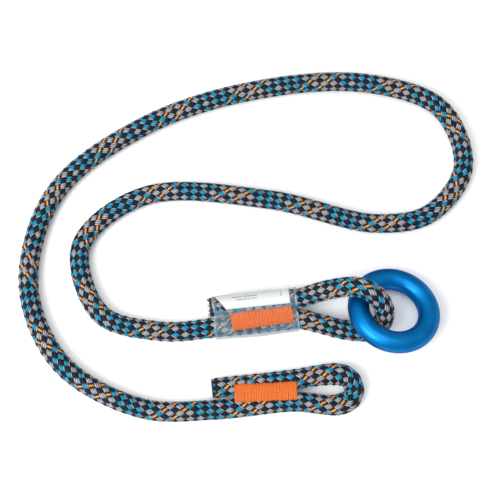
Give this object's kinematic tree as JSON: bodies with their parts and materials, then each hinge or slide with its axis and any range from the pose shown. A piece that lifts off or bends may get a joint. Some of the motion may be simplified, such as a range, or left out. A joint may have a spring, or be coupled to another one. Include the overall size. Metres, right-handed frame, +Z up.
{
  "type": "sewn eye-to-eye rope tether with ring",
  "caption": "Short braided rope tether laid in an open S, with a stitched eye at each end, one holding a captive metal ring under a clear sleeve.",
  "frame": {"origin": "middle of the laid-out tether's bounding box, on the surface it lies on", "axes": "+X along the longest extent, towards the two eyes' tips; +Y across it, from the plain eye towards the far loop of rope; +Z up"},
  "size_m": [0.2599, 0.2032, 0.0318],
  "materials": {
    "rope_cover": "braided polyester, charcoal with grey, turquoise and orange strands",
    "rope_core": "undyed polyamide",
    "stitch_thread": "bonded polyester thread",
    "sleeve_film": "clear heat-shrink film",
    "label_film": "white label film",
    "anodised_ring": "satin blue anodised"
  },
  "bodies": {
    "tether": {"ring_eye_cover": "rope_cover", "rope_run_cover": "rope_cover", "plain_eye_cover": "rope_cover", "rope_core": "rope_core", "ring_eye_needle_thread": "stitch_thread", "ring_eye_bobbin_thread": "stitch_thread", "plain_eye_needle_thread": "stitch_thread", "plain_eye_bobbin_thread": "stitch_thread", "clear_sleeve": "sleeve_film", "id_label": "label_film"},
    "ring": {"ring": "anodised_ring"}
  },
  "joints": [
    {"name": "ring_flip", "type": "hinge", "parent": "tether", "child": "ring", "pos_m": [0.0614, -0.0346, 0.0146], "axis": [-0.246, -0.8915, 0.3804], "range_deg": [0, 150]}
  ]
}
